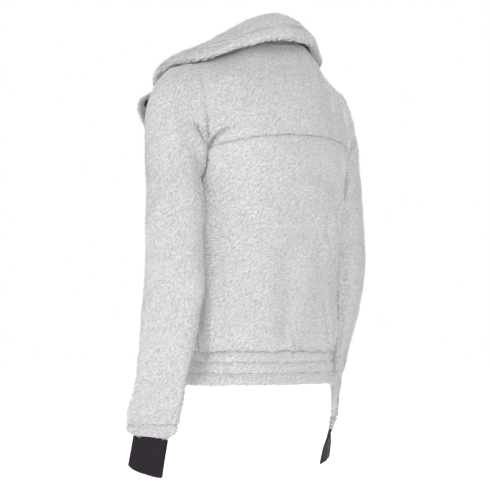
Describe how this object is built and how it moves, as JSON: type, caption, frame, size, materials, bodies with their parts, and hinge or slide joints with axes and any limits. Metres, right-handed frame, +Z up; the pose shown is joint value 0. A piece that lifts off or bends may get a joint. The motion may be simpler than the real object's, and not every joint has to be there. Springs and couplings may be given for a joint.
{
  "type": "fleece jacket",
  "caption": "Short worn-form jacket in high-pile fleece with a fold-over collar, turned-back lapels, a snap front, an elastic waistband and dark knit cuffs.",
  "frame": {"origin": "the point at the back of the neck, on the outer face of the back just below the collar seam, by which a wearer or hanger holds the jacket up", "axes": "+Z up, the wearer faces -Y, +X is the wearer's left"},
  "size_m": [0.4896, 0.2672, 0.7467],
  "materials": {
    "light_grey_fleece": "long soft matt pile",
    "charcoal_knit": "matt fine knit",
    "dark_metal": "semi-gloss"
  },
  "bodies": {
    "root": {"back_panel": "light_grey_fleece", "back_yoke": "light_grey_fleece", "front_left": "light_grey_fleece", "front_right": "light_grey_fleece", "waistband": "light_grey_fleece", "sleeve_left": "light_grey_fleece", "sleeve_right": "light_grey_fleece", "sleeve_band_left": "light_grey_fleece", "sleeve_band_right": "light_grey_fleece", "collar_upper": "light_grey_fleece", "collar_under": "light_grey_fleece", "lapel_left": "light_grey_fleece", "lapel_right": "light_grey_fleece", "cuff_left": "charcoal_knit", "cuff_right": "charcoal_knit", "press_stud_1": "dark_metal", "press_stud_2": "dark_metal", "press_stud_3": "dark_metal", "press_stud_4": "dark_metal", "press_stud_5": "dark_metal", "press_stud_lapel_left": "dark_metal", "press_stud_lapel_right": "dark_metal"}
  },
  "joints": []
}
